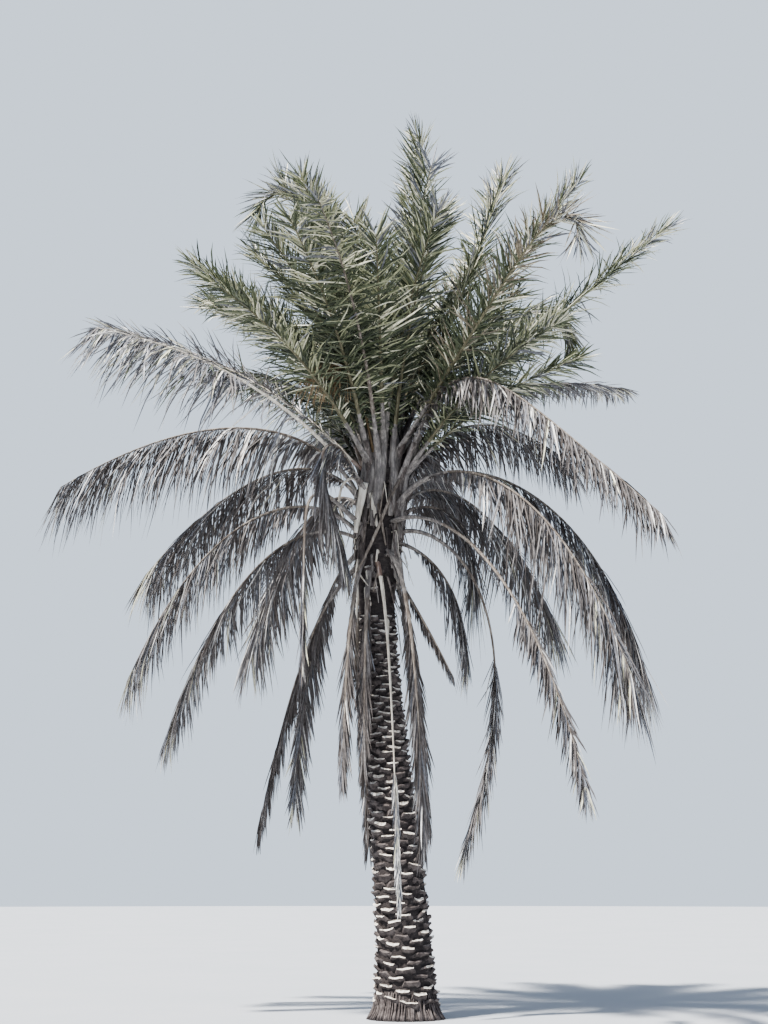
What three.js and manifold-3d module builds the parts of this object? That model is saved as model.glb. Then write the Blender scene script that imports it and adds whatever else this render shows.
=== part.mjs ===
// A full-grown date palm: one leaning trunk with a flared, flat-cut foot, and a crown of 73 feather fronds.
// Millimetres, +Z up. The origin is the middle of the foot, on the ground.
// +X is the right-hand side of the photograph and +Y leads away from the viewer.
// Bearings turn about +Z from +X, so 90 degrees is away from the viewer.

import * as THREE from "three";
import Module from "manifold-3d";

const wasm = await Module();
wasm.setup();
const { Manifold, Mesh: SolidMesh } = wasm;

// Trunk: the middle line bows to the left, then comes back at the neck.
const BOW = -360;
const BOW_TOP = 5300;
const NECK_BACK = 120;
const NECK_RISE = 1900;
// Height and radius: foot flare, taper, waist under the crown, swollen neck, heart.
const PROFILE = [
  [0, 470], [120, 400], [400, 345], [1000, 325], [2400, 285], [3650, 255], [4300, 235],
  [5000, 235], [5500, 270], [6000, 300], [6600, 290], [7000, 250], [7250, 190], [7400, 140],
];
const TRUNK_TOP = 7400;
const COLUMNS = 20;
const BOOT_ROW = 100;
const BOOTS_FROM = 300;
const BOOTS_TO = 5400;
const BOOT_OUT = 16;
const BOOT_IN = -14;
const BOOT_LIFT = 34;
const RIDGE_ROW = 200;

// Crown: the highest frond leaves the heart at CROWN_TOP, the oldest CROWN_FALL below it.
const CROWN_TOP = 7200;
const CROWN_FALL = 1750;
const SEAT = 0.75;
const CLEARANCE = 0.35;

// Rib: a box section that tapers from the trunk to the tip.
const RIB_WIDE = [78, 52, 16];
const RIB_HIGH = [46, 38, 14];
const STEM_END = 0.16;
const RIB_ROOM = [50, 38, 16];
const BAY = 250;
const KEEP_CLEAR = 3;
const SLIVER = 0.1;

// Leaflets: the longest, how far up the stem they start, and how much shorter they get at the tip.
const LEAFLET = 600;
const LEAFLET_START = 0.14;
const RISE_AT = [0, 0.1, 0.2, 0.36];
const RISE = [0.12, 0.35, 0.75, 1];
const FADE_FROM = 0.36;
const LEAFLET_AGES = [0, 0.36, 0.48, 0.62, 0.8, 1];
const LEAFLET_LONG = [1, 1, 1.25, 1.2, 0.9, 0.8];
const TIP_SHRINK = [0.12, 0.3, 0.1, 0.1, 0.15, 0.2];
// Degrees that they lean off the rib, at the stem and at the tip, and that they lift above it.
const LEAN_AGES = [0, 0.1, 0.72, 0.86, 1];
const LEAN_STEM = [58, 52, 60, 30, 26];
const LEAN_TIP = [46, 34, 34, 18, 16];
const LEAN_POWER = 1.6;
const LIFT_AGES = [0, 0.35, 0.5, 1];
const LIFT = [28, 18, -4, -16];
// How far they hang as they leave the rib, and how much more they bend down, for each metre squared.
const HANG_AGES = [0, 0.3, 0.48, 1];
const HANG = [0, 0.1, 1.0, 1.6];
const SAG = [0.08, 0.3, 0.75, 0.3];
// The share of the rib that has lost its leaflets.
const BARE = { front_hang: 0.58, right_fall_long: 0.44, right_fall: 0.4, left_broken: 0.56, left_arch_low: 0.45 };
// Fronds whose leaflets are shorter than their age says, by this share.
const SHORT = {
  front_hang: 0.6, right_stub: 0.5, right_level: 0.6, right_arch_high: 0.72, right_arch_back: 0.75,
  left_curl: 0.75, left_broken: 0.6, right_fall_long: 0.55, right_fall: 0.75,
};
// Fronds whose leaflets have closed up along the rib: the share that is left of their lean.
const CLOSED = { left_curl: 0.45, left_broken: 0.4 };
const METRE = 1000;
// A leaflet group that has no room is tried again at these shares of its length.
const TOOTH_SHARES = [1, 0.8, 0.62, 0.46, 0.32];

// Fronds that can be told apart in the photograph:
// name, age from 0 (spear) to 1 (oldest), bearing, tilt from upright, further droop, length,
// where along the rib it bends, how sharply, and the share of the rib inside the split.
const SHOWN = [
  ["crest", 0.02, 20, 10, -8, 4330, 1.37, 0.8],
  ["right_plume", 0.12, 38, 28, -6, 4850, 1.59, 0.9],
  ["left_plume", 0.15, 160, 7, 26, 4300, 1.5, 1.6],
  ["right_plume_low", 0.17, 1, 30, 12, 4550, 1.68, 4.4],
  ["right_hook", 0.2, -50, 49, 168, 4360, 1.09, 11.7, 0.82],
  ["left_hook", 0.24, 203, 12, 168, 4440, 0.93, 11.4],
  ["right_spear", 0.29, 9, 39, 11, 5200, 1.06, 0.9],
  ["left_arch_high", 0.33, 176, 42, 36, 4200, 1.0, 1.6],
  ["right_snapped", 0.36, 22, 35, 150, 4210, 0.88, 14.7],
  ["right_level", 0.41, 43, 18, 67, 5700, 0.6, 0.9],
  ["left_arch_low", 0.44, 208, 46, 42, 4100, 1.0, 1.6],
  ["right_arch_high", 0.47, -43, 29, 104, 5440, 0.31, 5.8, 0.42],
  ["right_arch_back", 0.5, 25, 27, 97, 3340, 0.58, 2.6],
  ["left_curl", 0.52, 227, 42, 161, 2550, 0.4, 8.4],
  ["right_arch_rear", 0.54, -3, 17, 150, 4740, 0.39, 1.0, 0.44],
  ["right_arch_front", 0.58, -40, 35, 125, 5040, 0.3, 1.2, 0.42],
  ["right_fall_tip", 0.6, 10, 52, 138, 1720, 0.65, 1.6],
  ["right_arch_short", 0.61, 36, 24, 125, 3700, 0.3, 1.6],
  ["right_fall_long", 0.62, -50, 75, 89, 5140, 0.69, 0.8],
  ["left_broken", 0.66, 217, 57, 123, 3010, 0.29, 8.5],
  ["right_fall", 0.7, -6, 64, 136, 4730, 0.26, 0.9],
  ["right_fall_short", 0.76, -8, 102, 78, 1880, 1.19, 1.0],
  ["right_hang", 0.86, -55, 120, 58, 3800, 0.1, 1],
  ["left_hang", 0.89, 228, 138, 40, 2800, 0.1, 1],
  ["front_hang", 0.93, -95, 147, 30, 4300, 0.07, 1],
  ["left_hang_low", 0.96, 250, 150, 29, 2500, 0.1, 1],
  ["right_stub", 0.99, -20, 145, 8, 1600, 1.0, 1],
];

// Degrees that a frond turns aside from the bearing of its foot.
const TURNED = { front_hang: 38 };

// Clumps of young fronds whose bases grow together in one sheath:
// name, age, bearing, tilt and droop of the middle, length.
const CLUMPS = [
  ["right_back", 0.1, 58, 30, 28, 4000],
  ["front", 0.14, 262, 20, 24, 3050],
  ["left_back", 0.18, 132, 24, 30, 3900],
  ["back", 0.23, 95, 36, 34, 3900],
  ["left_front", 0.27, 226, 30, 34, 3500],
  ["right_front", 0.31, 314, 36, 30, 2900],
];
const CLUMP_SIZE = 4;
const CLUMP_SPREAD = 11;
const CLUMP_TWIST = 0.4;
const CLUMP_LEAST = 12;
const CLUMP_SHORTER = 0.08;
const CLUMP_BEND = 1.2;
const CLUMP_SHARP = 1.6;
const CLUMP_SEAT = 1.0;
const SHEATH = 0.07;
const SHEATH_WALL = 8;
const SHEATH_START = 0.75;
const CLUMP_ROOM = [54, 43, 16];

// The rest of the crown, hidden or out of view, by the same ages.
// Young ones stand all round, old ones only behind, where they leave the neck in view.
const REST = 22;
const REST_FROM = 62;
const REST_PHASE = 0.675;
const REST_SPAN = { young: 360, green: 232, old: 122 };
const REST_AGES = [0, 0.2, 0.4, 0.55, 0.7, 0.85, 1];
const REST_TILT = [4, 12, 27, 27, 40, 112, 145];
const REST_DROOP = [20, 35, 60, 105, 118, 65, 34];
const REST_LENGTH = [3900, 4400, 4800, 4600, 4400, 4200, 3600];
const REST_BEND = [1.5, 1.2, 0.8, 0.35, 0.3, 0.3, 0.1];
const REST_SHARP = [1.6, 1.6, 1.6, 1.6, 1.6, 1.2, 1];
// Steps that spread bearings, leans and lengths without a repeat.
const SPREAD = 0.754878;
const SPREAD_LENGTH = 0.56984;
const SPREAD_CLUMP = 0.61803;
const REST_NAMES = ["young", "green", "mature", "arching", "falling", "hanging"];
const LEAST_TILT = 0.9;
const REST_SHORTER = 0.12;
// Young ones are shorter to the left and right, where the crown's outline is seen.
const SIDE_AGE = 0.35;
const SIDE_SHORTER = 0.16;
const SIDE_STEP = 7;
const SIDE_STEPS = 15;
const SLIDE = 12;

const rad = THREE.MathUtils.degToRad;
const vec = (x, y, z) => new THREE.Vector3(x, y, z);

function smooth(u) {
  const t = Math.min(Math.max(u, 0), 1);
  return 3 * t * t - 2 * t * t * t;
}

function along(x, xs, ys) {
  if (x <= xs[0]) return ys[0];
  for (let i = 1; i < xs.length; i++) {
    if (x <= xs[i]) return ys[i - 1] + ((x - xs[i - 1]) / (xs[i] - xs[i - 1])) * (ys[i] - ys[i - 1]);
  }
  return ys[ys.length - 1];
}

function frac(x) {
  return x - Math.floor(x);
}

const heights = PROFILE.map((p) => p[0]);
const radii = PROFILE.map((p) => p[1]);

function trunkRadius(z) {
  return along(z, heights, radii);
}

function trunkMiddle(z) {
  return vec(BOW * smooth(z / BOW_TOP) + NECK_BACK * smooth((z - BOW_TOP) / NECK_RISE), 0, z);
}

// A closed solid from its corners and outward triangles.
function solid(corners, faces) {
  const vertProperties = new Float32Array(corners.flatMap((p) => [p.x, p.y, p.z]));
  const triVerts = new Uint32Array(faces.flat());
  return new Manifold(new SolidMesh({ numProp: 3, vertProperties, triVerts }));
}

// Rings of the trunk. Every second corner of a boot row stands out and up like a cut leaf base.
// On the neck above them the same corners run on as upright ridges, the bases of the living fronds.
function trunkRings(grow) {
  const levels = [0, 120];
  for (let z = BOOTS_FROM; z <= BOOTS_TO + 1; z += BOOT_ROW) levels.push(z);
  for (let z = BOOTS_TO + RIDGE_ROW; z < TRUNK_TOP; z += RIDGE_ROW) levels.push(z);
  levels.push(TRUNK_TOP);
  return levels.map((level, row) => {
    const booted = level >= BOOTS_FROM && level <= BOOTS_TO;
    const rough = level >= BOOTS_FROM && level < TRUNK_TOP;
    const ring = [];
    for (let column = 0; column < COLUMNS; column++) {
      const out = ((booted ? row : 0) + column) % 2 === 0;
      const z = level + (booted && out ? BOOT_LIFT : 0);
      const bump = rough ? (out ? BOOT_OUT : BOOT_IN) : 0;
      const r = trunkRadius(level) + bump + grow;
      const turn = (2 * Math.PI * column) / COLUMNS;
      ring.push(trunkMiddle(z).add(vec(r * Math.cos(turn), r * Math.sin(turn), 0)));
    }
    return ring;
  });
}

function trunkSolid(grow) {
  const rings = trunkRings(grow);
  const last = rings.length - 1;
  const corners = rings.flat();
  const faces = [];
  for (let row = 0; row < last; row++) {
    for (let column = 0; column < COLUMNS; column++) {
      const next = (column + 1) % COLUMNS;
      const a = row * COLUMNS + column;
      const b = row * COLUMNS + next;
      const c = (row + 1) * COLUMNS + next;
      const d = (row + 1) * COLUMNS + column;
      if ((row + column) % 2 === 0) faces.push([a, b, d], [b, c, d]);
      else faces.push([a, b, c], [a, c, d]);
    }
  }
  const foot = corners.length;
  corners.push(trunkMiddle(0).setZ(-grow), trunkMiddle(TRUNK_TOP).setZ(TRUNK_TOP + 60 + grow));
  for (let column = 0; column < COLUMNS; column++) {
    const next = (column + 1) % COLUMNS;
    faces.push([foot, next, column]);
    faces.push([foot + 1, last * COLUMNS + column, last * COLUMNS + next]);
  }
  return solid(corners, faces);
}

// The point, forward direction, side and upper side of a frond at a share s of its length.
const STEPS = 400;

function ribLine(frond) {
  const seat = rad(frond.bearing);
  const turn = rad(frond.bearing + frond.swing);
  const reach = frond.seat * trunkRadius(frond.level);
  const at = trunkMiddle(frond.level).add(vec(reach * Math.cos(seat), reach * Math.sin(seat), 0));
  const line = [];
  const edge = Math.pow(frond.bend, frond.sharp);
  let before = null;
  for (let i = 0; i <= STEPS; i++) {
    const power = Math.pow(i / STEPS, frond.sharp);
    const tilt = rad(frond.tilt + (frond.droop * (1 + edge) * power) / (power + edge));
    const forward = vec(Math.sin(tilt) * Math.cos(turn), Math.sin(tilt) * Math.sin(turn), Math.cos(tilt));
    if (before) at.addScaledVector(before.add(forward), frond.length / STEPS / 2);
    const side = vec(-Math.sin(turn), Math.cos(turn), 0);
    line.push({ point: at.clone(), forward, side, upper: forward.clone().cross(side) });
    before = forward.clone();
  }
  return line;
}

function onLine(frond, s) {
  const x = Math.min(Math.max(s, 0), 1) * STEPS;
  const i = Math.min(Math.floor(x), STEPS - 1);
  const a = frond.line[i];
  const b = frond.line[i + 1];
  return {
    point: a.point.clone().lerp(b.point, x - i),
    forward: a.forward.clone().lerp(b.forward, x - i).normalize(),
    side: a.side.clone(),
    upper: a.upper.clone().lerp(b.upper, x - i).normalize(),
  };
}

function ribSize(sizes, s) {
  return along(s, [0, STEM_END, 1], sizes);
}

// Half the thickness a rib needs round its middle line.
function ribRoom(frond, s) {
  return along(s, [0, STEM_END, 1], frond.clump ? CLUMP_ROOM : RIB_ROOM);
}

function clearOf(frond, others) {
  return others.every((other) => {
    for (let i = 0; i <= STEPS; i += 10) {
      for (let j = 0; j <= STEPS; j += 10) {
        const room = ribRoom(frond, i / STEPS) + ribRoom(other, j / STEPS);
        if (frond.line[i].point.distanceToSquared(other.line[j].point) < room * room) return false;
      }
    }
    return true;
  });
}

function shownFrond([name, age, bearing, tilt, droop, length, bend, sharp, split]) {
  return { name, age, bearing, swing: TURNED[name] ?? 0, seat: SEAT, tilt, droop, length, bend, sharp, split };
}

function restFrond(k) {
  const age = (k + 0.5) / REST;
  const span = age < 0.2 ? REST_SPAN.young : along(age, [0.3, 0.45], [REST_SPAN.green, REST_SPAN.old]);
  const bearing = REST_FROM + span * frac(SPREAD * k + REST_PHASE);
  const young = age < SIDE_AGE ? 1 - SIDE_SHORTER * Math.abs(Math.cos(rad(bearing))) : 1;
  return {
    name: REST_NAMES[Math.floor(age * REST_NAMES.length)] + "_" + ((k % 4) + 1),
    age,
    bearing,
    swing: 0,
    seat: SEAT,
    tilt: along(age, REST_AGES, REST_TILT) * (LEAST_TILT + (2 - 2 * LEAST_TILT) * frac(SPREAD * k)),
    droop: along(age, REST_AGES, REST_DROOP),
    length: along(age, REST_AGES, REST_LENGTH) * (1 - REST_SHORTER * frac(SPREAD_LENGTH * k)) * young,
    bend: along(age, REST_AGES, REST_BEND),
    sharp: along(age, REST_AGES, REST_SHARP),
  };
}

// The fronds of a clump share one foot and fan out round the clump's middle.
function clumpFronds([name, age, bearing, tilt, droop, length]) {
  const fronds = [];
  for (let m = 0; m < CLUMP_SIZE; m++) {
    const way = rad((360 * m) / CLUMP_SIZE + CLUMP_TWIST * bearing);
    const lean = tilt + CLUMP_SPREAD * Math.cos(way);
    fronds.push({
      name: name + "_" + (m + 1),
      clump: name,
      age,
      bearing,
      swing: (CLUMP_SPREAD * Math.sin(way)) / Math.sin(rad(Math.max(lean, CLUMP_LEAST))),
      seat: CLUMP_SEAT,
      tilt: lean,
      droop,
      length: length * (1 - CLUMP_SHORTER * frac(SPREAD_CLUMP * m)),
      bend: CLUMP_BEND,
      sharp: CLUMP_SHARP,
    });
  }
  return fronds;
}

// The crown as a list of groups, a lone frond being a group of one. Old fronds sit lower down.
// The ones that show keep their place. The others turn aside, and slip down, to the first free one.
function crown() {
  const shown = SHOWN.map(shownFrond);
  const rest = Array.from({ length: REST }, (_, k) => restFrond(k));
  const lone = [...shown, ...rest];
  const clumps = CLUMPS.map(clumpFronds);
  const fall = CROWN_FALL / (lone.length - 1);
  for (const frond of [...lone, ...clumps.flat()]) {
    const younger = lone.filter((other) => other.age < frond.age).length;
    frond.level = CROWN_TOP - fall * (frond.clump ? younger - 0.5 : younger);
  }
  const groups = [...shown.map((frond) => [frond]), ...clumps, ...rest.map((frond) => [frond])];
  const placed = [];
  groups.forEach((group, index) => {
    const wanted = group[0].bearing;
    const top = group[0].level;
    const most = index < shown.length ? 0 : 2 * SIDE_STEPS;
    for (let k = 0; k <= most; k++) {
      const step = Math.ceil(k / 2) * SIDE_STEP * (k % 2 ? 1 : -1);
      for (const frond of group) {
        frond.bearing = wanted + step;
        frond.level = top - k * SLIDE;
        frond.line = ribLine(frond);
      }
      if (group.every((frond) => clearOf(frond, placed))) break;
    }
    placed.push(...group);
  });
  return groups.sort((a, b) => a[0].age - b[0].age);
}

// Leaflet groups: how long they are at a share s of the rib, and where a group's tip lies.
function toothLength(frond, s) {
  const u = (s - LEAFLET_START) / (1 - LEAFLET_START);
  if (u < 0 || u < (BARE[frond.name] ?? 0)) return 0;
  const rise = along(u, RISE_AT, RISE);
  const fade = along(frond.age, LEAFLET_AGES, TIP_SHRINK) * along(u, [FADE_FROM, 1], [0, 1]);
  const size = LEAFLET * along(frond.age, LEAFLET_AGES, LEAFLET_LONG);
  return size * rise * (1 - fade) * (SHORT[frond.name] ?? 1);
}

function toothTip(frond, s, hand, root, length) {
  const here = onLine(frond, s);
  const stem = along(frond.age, LEAN_AGES, LEAN_STEM);
  const tip = along(frond.age, LEAN_AGES, LEAN_TIP);
  const lean = rad(stem + (tip - stem) * Math.pow(s, LEAN_POWER)) * (CLOSED[frond.name] ?? 1);
  const lift = rad(along(frond.age, LIFT_AGES, LIFT));
  const aim = here.forward.clone().multiplyScalar(Math.cos(lean));
  aim.addScaledVector(here.side, hand * Math.sin(lean) * Math.cos(lift));
  aim.addScaledVector(here.upper, Math.sin(lean) * Math.sin(lift));
  aim.z -= along(frond.age, HANG_AGES, HANG);
  const end = root.clone().addScaledVector(aim.normalize(), length);
  end.z -= (along(frond.age, HANG_AGES, SAG) * length * length) / METRE;
  return end;
}

// The four corners of the rib at a share s of its length, moved out by grow.
function ring(frond, s, grow = 0) {
  const here = onLine(frond, s);
  const w = ribSize(RIB_WIDE, s) / 2 + grow;
  const h = ribSize(RIB_HIGH, s) / 2 + grow;
  const signs = [[1, 1], [-1, 1], [-1, -1], [1, -1]];
  return signs.map(([x, y]) => here.point.clone().addScaledVector(here.side, x * w).addScaledVector(here.upper, y * h));
}

function hullOf(points) {
  return Manifold.hull(points.map((p) => [p.x, p.y, p.z]));
}

function item(points, frond, bay) {
  const box = new THREE.Box3().setFromPoints(points).expandByScalar(KEEP_CLEAR);
  return { shape: hullOf(points), box, frond, bay };
}

function isFree(tooth, items) {
  return items.every((other) => {
    if (other.frond === tooth.frond && Math.abs(other.bay - tooth.bay) < 3) return true;
    if (!other.box.intersectsBox(tooth.box)) return true;
    return tooth.shape.minGap(other.shape, 2 * KEEP_CLEAR) > KEEP_CLEAR;
  });
}

function baysOf(frond) {
  const count = Math.round(frond.length / BAY);
  const bays = [];
  for (let i = 0; i < count; i++) bays.push({ from: i / count, to: (i + 1) / count, apex: [null, null] });
  return bays;
}

// Every tooth takes the longest length that leaves its neighbours clear, or is left out.
function growTeeth(fronds, items) {
  const most = Math.max(...fronds.map((frond) => frond.bays.length));
  for (let i = 0; i < most; i++) {
    for (const frond of fronds) {
      const bay = frond.bays[i];
      if (!bay) continue;
      const s = (bay.from + bay.to) / 2;
      const full = toothLength(frond, s);
      if (!full) continue;
      const near = ring(frond, bay.from);
      const far = ring(frond, bay.to);
      [1, -1].forEach((hand, which) => {
        const foot = hand > 0 ? [near[3], near[0], far[0], far[3]] : [near[1], near[2], far[2], far[1]];
        const middle = foot.reduce((sum, p) => sum.add(p), vec(0, 0, 0)).divideScalar(4);
        for (const share of TOOTH_SHARES) {
          const apex = toothTip(frond, s, hand, middle, full * share);
          const tooth = item([...foot, apex], frond, i);
          if (isFree(tooth, items)) {
            bay.apex[which] = apex;
            items.push(tooth);
            break;
          }
        }
      });
    }
  }
}

function frondSolid(frond, bays, gapAtStart) {
  const stations = bays.map((bay) => bay.from).concat(bays[bays.length - 1].to);
  const corners = stations.flatMap((s, i) => ring(frond, i === 0 ? s + gapAtStart / frond.length : s));
  const faces = [[0, 3, 2], [0, 2, 1]];
  bays.forEach((bay, i) => {
    const a = 4 * i;
    for (let k = 0; k < 4; k++) {
      const m = (k + 1) % 4;
      const quad = [a + k, a + m, a + 4 + m, a + 4 + k];
      const apex = k === 1 ? bay.apex[1] : k === 3 ? bay.apex[0] : null;
      if (apex) {
        const tip = corners.length;
        corners.push(apex);
        quad.forEach((q, n) => faces.push([q, quad[(n + 1) % 4], tip]));
      } else {
        faces.push([quad[0], quad[1], quad[2]], [quad[0], quad[2], quad[3]]);
      }
    }
  });
  const e = 4 * bays.length;
  faces.push([e, e + 1, e + 2], [e, e + 2, e + 3]);
  return solid(corners, faces);
}

function largest(pieces) {
  return pieces.reduce((best, piece) => (piece.volume() > best.volume() ? piece : best));
}

const group = new THREE.Group();
group.name = "date_palm";

// Adds one node. Slivers that a cut leaves behind are merged away.
function add(name, shape, color) {
  const mesh = shape.simplify(SLIVER).getMesh();
  const geometry = new THREE.BufferGeometry();
  geometry.setAttribute("position", new THREE.BufferAttribute(new Float32Array(mesh.vertProperties), 3));
  geometry.setIndex(new THREE.BufferAttribute(new Uint32Array(mesh.triVerts), 1));
  geometry.computeVertexNormals();
  const made = new THREE.Mesh(geometry, new THREE.MeshStandardMaterial({ color, roughness: 0.9, flatShading: true }));
  made.name = name;
  group.add(made);
}

const trunk = trunkSolid(0);
const grown = trunkSolid(CLEARANCE);
const groups = crown();
const fronds = groups.flat();
const items = [];

const slices = trunkRings(0);
for (let row = 0; row + 4 < slices.length + 3; row += 4) {
  const part = slices.slice(row, row + 5).flat();
  items.push(item(part, null, 0));
}
for (const frond of fronds) {
  frond.bays = baysOf(frond);
  frond.bays.forEach((bay, i) => {
    items.push(item([...ring(frond, bay.from), ...ring(frond, bay.to)], frond, i));
  });
}
growTeeth(fronds, items);

// The sheath that wraps the bases of a clump's fronds. Their ribs start well inside it.
function sheath(members) {
  return hullOf(members.flatMap((m) => [...ring(m, 0, SHEATH_WALL), ...ring(m, SHEATH, SHEATH_WALL)]));
}

function addGroup(members, color) {
  const [frond] = members;
  if (frond.clump) {
    const start = SHEATH * SHEATH_START;
    const joined = members.reduce((sum, m) => sum.add(frondSolid(m, m.bays, start * m.length)), sheath(members));
    add("fronds_" + frond.clump, largest(joined.subtract(grown).decompose()), color);
  } else if (frond.split) {
    const at = Math.round(frond.split * frond.bays.length);
    const inner = frondSolid(frond, frond.bays.slice(0, at), 0).subtract(grown);
    add("frond_" + frond.name + "_inner", largest(inner.decompose()), color);
    add("frond_" + frond.name + "_outer", frondSolid(frond, frond.bays.slice(at), CLEARANCE), color);
  } else {
    const whole = frondSolid(frond, frond.bays, 0).subtract(grown);
    add("frond_" + frond.name, largest(whole.decompose()), color);
  }
}

add("trunk", trunk, 0x6b5f55);

const GREEN = new THREE.Color(0x66703f);
const STRAW = new THREE.Color(0x8f8265);
for (const members of groups) {
  addGroup(members, GREEN.clone().lerp(STRAW, smooth((members[0].age - 0.3) / 0.4)));
}

export default group;
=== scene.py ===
# %% [markdown]
# A tall date palm, about 12 m from its foot to the tip of its newest frond.
# The trunk is covered in the stubs of fronds that were cut off over the years.
# The crown holds fronds of every age: stiff green ones on top, arching ones below,
# and old grey ones that hang down along the trunk.
# The solids that carry this scene give every piece its place, so they are loaded first.

import math
from functools import reduce

import bpy
import numpy as np
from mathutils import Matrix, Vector


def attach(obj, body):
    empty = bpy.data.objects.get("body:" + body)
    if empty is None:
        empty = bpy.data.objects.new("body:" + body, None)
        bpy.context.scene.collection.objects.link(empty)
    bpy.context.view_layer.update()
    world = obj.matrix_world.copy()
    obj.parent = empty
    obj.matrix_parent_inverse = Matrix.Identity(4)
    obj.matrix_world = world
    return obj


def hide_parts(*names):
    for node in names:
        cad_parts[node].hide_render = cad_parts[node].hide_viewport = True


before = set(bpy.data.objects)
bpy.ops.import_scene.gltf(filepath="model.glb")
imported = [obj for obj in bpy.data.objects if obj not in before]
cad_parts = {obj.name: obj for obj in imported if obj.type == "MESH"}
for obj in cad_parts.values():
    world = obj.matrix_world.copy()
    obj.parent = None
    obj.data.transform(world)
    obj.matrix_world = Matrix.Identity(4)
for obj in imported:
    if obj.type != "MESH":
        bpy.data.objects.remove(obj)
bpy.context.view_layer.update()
print("solids:", len(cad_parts))

# %% [markdown]
# The camera stands 20 m from the trunk at eye height and looks up a little, so the trunk
# narrows upwards and the crown is seen from below. The light is a plain studio set: a high,
# warm key from the upper left that leaves the neck in the shade of the crown, a weak cool fill
# and a pale room. The floor is a middle grey, so that it doesn't light the fronds from below.


# %% Helpers for objects and nodes
def linked(name, data):
    """A new object at the origin, unturned and unscaled."""
    made = bpy.data.objects.new(name, data)
    bpy.context.scene.collection.objects.link(made)
    return made


def feed(node, values):
    """Gives inputs of a node, by name or place, a value or the output of another node."""
    for name, value in values.items():
        if isinstance(name, str):
            name = next(i for i, s in enumerate(node.inputs) if s.name == name and s.enabled)
        if isinstance(value, bpy.types.NodeSocket):
            node.id_data.links.new(value, node.inputs[name])
        else:
            node.inputs[name].default_value = value
    return node


# %% Camera
LENS_MM = 56.25
SENSOR_MM = 36.0
CAMERA_PLACE = (-0.263, -20.0, 1.6)
CAMERA_PITCH = 13.0
SIGHT = 200.0

camera_data = bpy.data.cameras.new("camera")
camera_data.lens = LENS_MM
camera_data.sensor_width = SENSOR_MM
camera_data.clip_end = SIGHT
camera = linked("camera", camera_data)
camera.location = CAMERA_PLACE
camera.rotation_euler = (math.radians(90.0 + CAMERA_PITCH), 0.0, 0.0)
bpy.context.scene.camera = camera
print("camera:", CAMERA_PLACE, "looking up", CAMERA_PITCH, "degrees")


# %% Lights
def sun(name, power, softness, towards, colour):
    """A distant lamp that shines along the direction towards."""
    data = bpy.data.lights.new(name, "SUN")
    data.energy = power
    data.angle = math.radians(softness)
    data.color = colour
    linked(name, data).rotation_euler = Vector(towards).to_track_quat("-Z", "Y").to_euler()


# name, power, softness in degrees, the way it shines, colour
sun("key_light", 10.5, 3.0, (0.42, 0.36, -1.0), (1.0, 0.975, 0.94))
sun("fill_light", 0.5, 40.0, (-0.8, 0.5, -0.25), (0.74, 0.85, 1.0))
sun("back_light", 0.4, 40.0, (0.1, -0.9, -0.5), (0.86, 0.92, 1.0))
bpy.context.scene.view_settings.look = "AgX - Medium High Contrast"


# %% Room
def pale_room(light, strength, backdrop, brightness):
    """A world that lights the palm softly, and looks paler than the light it gives."""
    world = bpy.data.worlds.new("pale_room")
    bpy.context.scene.world = world
    world.use_nodes = True
    nodes = world.node_tree.nodes
    soft = feed(nodes["Background"], {"Color": (*light, 1.0), "Strength": strength})
    seen = feed(nodes.new("ShaderNodeBackground"), {"Color": (*backdrop, 1.0), "Strength": brightness})
    straight = nodes.new("ShaderNodeLightPath").outputs["Is Camera Ray"]
    mix = feed(nodes.new("ShaderNodeMixShader"), {0: straight, 1: soft.outputs[0], 2: seen.outputs[0]})
    feed(nodes["World Output"], {"Surface": mix.outputs[0]})


pale_room(light=(0.66, 0.78, 1.0), strength=0.6, backdrop=(0.72, 0.82, 0.94), brightness=1.1)


# %% Small helpers for meshes and materials
def object_from(name, points, faces, *materials, smooth=True):
    """A piece at the origin, with its place in its mesh."""
    mesh = bpy.data.meshes.new(name)
    mesh.from_pydata([tuple(p) for p in points], [], faces)
    mesh.update()
    mesh.polygons.foreach_set("use_smooth", [smooth] * len(mesh.polygons))
    for material in materials:
        mesh.materials.append(material)
    return linked(name, mesh)


def along(x, xs, ys):
    """Straight-line steps between named values."""
    return float(np.interp(x, xs, ys))


def smooth_step(u):
    t = min(max(u, 0.0), 1.0)
    return 3 * t * t - 2 * t * t * t


def frac(x):
    return x - math.floor(x)


def unit(v):
    return np.array(v, dtype=float) / np.linalg.norm(v)


def compass(turn):
    """The level directions outward and sideways at an angle round the trunk."""
    x, y = math.cos(turn), math.sin(turn)
    return np.array([x, y, 0.0]), np.array([-y, x, 0.0])


def around(count):
    """The outward directions at equal turns."""
    return [compass(turn)[0] for turn in np.linspace(0, 2 * math.pi, count, endpoint=False)]


def smooth_path(corners, steps):
    """A curve through the corners, as equal shares of its way."""
    c = [np.array(corner, dtype=float) for corner in corners]
    c = [2 * c[0] - c[1], *c, 2 * c[-1] - c[-2]]
    way = []
    for x in np.linspace(0, len(corners) - 1, steps):
        i = min(int(x), len(corners) - 2)
        u = x - i
        a, b, d, e = c[i : i + 4]
        way.append(b + 0.5 * u * (d - a + u * (2 * a - 5 * b + 4 * d - e + u * (3 * (b - d) + e - a))))
    return way


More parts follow.
